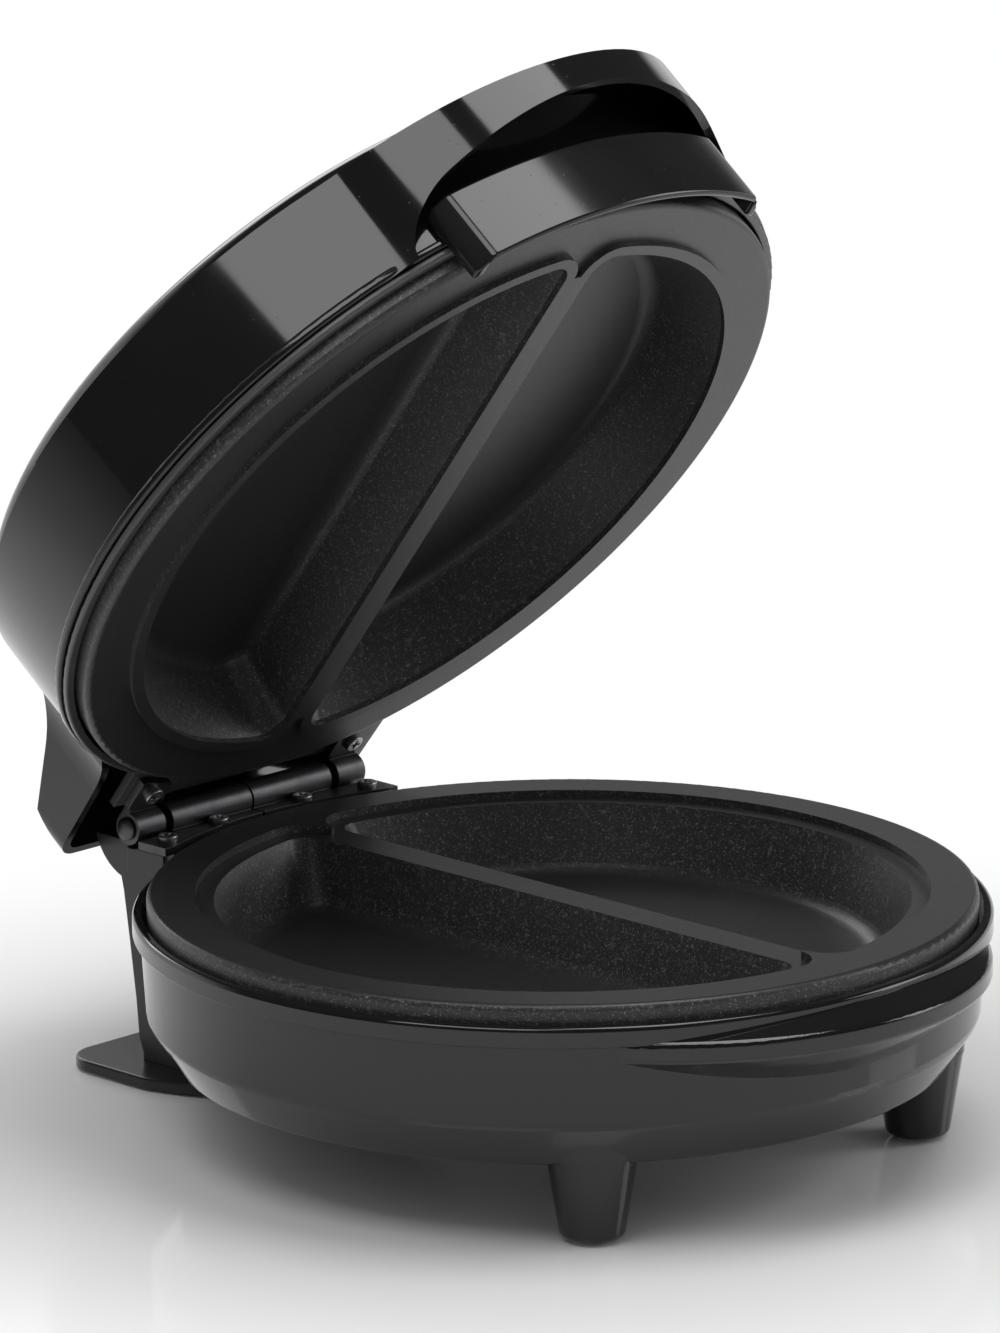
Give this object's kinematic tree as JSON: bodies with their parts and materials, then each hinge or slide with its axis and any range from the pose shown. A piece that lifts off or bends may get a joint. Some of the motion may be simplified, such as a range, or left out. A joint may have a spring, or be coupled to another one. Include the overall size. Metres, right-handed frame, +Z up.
{
  "type": "electric omelette maker",
  "caption": "Electric omelette maker with a hinged lid, half-moon non-stick cavities in both plates, round gloss mouldings, a lifting band under a front visor and a rear hinge column.",
  "frame": {"origin": "on the floor under the middle of the object's box at rest, lid open as in the picture", "axes": "+Z up; +X across the object along the hinge, to the right as seen from the front; +Y to the rear, towards the hinge column"},
  "size_m": [0.2034, 0.2434, 0.2608],
  "materials": {
    "gloss_body": "polished moulded plastic",
    "satin_column": "satin moulded plastic",
    "nonstick_plate": "die-cast aluminium with a dark non-stick coating",
    "frame_grey": "satin grey heat-resistant plastic",
    "hinge_steel": "satin plated steel",
    "screw_steel": "zinc-plated steel",
    "element_sheath": "oxidised metal sheath",
    "clip_steel": "stamped steel",
    "shield_sheet": "mill-finish aluminium sheet",
    "foot_rubber": "pale grey rubber",
    "bush_rubber": "black rubber",
    "terminal_ceramic": "glazed ceramic",
    "lead_sleeve": "glass-fibre sleeved leads",
    "fuse_body": "metal can on a mica base",
    "lens_red": "clear red lens",
    "lens_green": "clear green lens",
    "board_laminate": "glass-fibre board"
  },
  "bodies": {
    "base": {"base_housing": "gloss_body", "lower_cooking_plate": "nonstick_plate", "lower_heating_element": "element_sheath", "lower_element_clips": "clip_steel", "lower_heat_shield": "shield_sheet", "thermostat": "clip_steel", "terminal_block": "terminal_ceramic", "base_wiring": "lead_sleeve", "rear_column": "satin_column", "rear_foot": "satin_column", "cord_inlet_bush": "bush_rubber", "base_hinge_leaf_right": "hinge_steel", "base_hinge_leaf_left": "hinge_steel", "hinge_pin": "hinge_steel", "front_foot_pads": "foot_rubber", "rear_foot_pads": "foot_rubber", "lower_plate_screws": "screw_steel", "column_screws": "screw_steel", "rear_foot_screws": "screw_steel", "base_hinge_screws": "screw_steel"},
    "lid": {"lid_shell": "gloss_body", "lid_frame": "frame_grey", "upper_cooking_plate": "nonstick_plate", "upper_heating_element": "element_sheath", "upper_element_clips": "clip_steel", "upper_heat_shield": "shield_sheet", "thermal_fuse": "fuse_body", "lid_hinge_leaf_right": "hinge_steel", "lid_hinge_leaf_left": "hinge_steel", "lid_hinge_screws": "screw_steel", "upper_plate_screws": "screw_steel", "handle_band": "gloss_body", "handle_screws": "screw_steel", "power_lamp_lens": "lens_red", "ready_lamp_lens": "lens_green", "lamp_board": "board_laminate", "lid_wiring": "lead_sleeve"}
  },
  "joints": [
    {"name": "lid_hinge", "type": "hinge", "parent": "base", "child": "lid", "pos_m": [0, 0.09769, 0.0612], "axis": [-1, 0, 0], "range_deg": [-52.5, 42.5]}
  ]
}
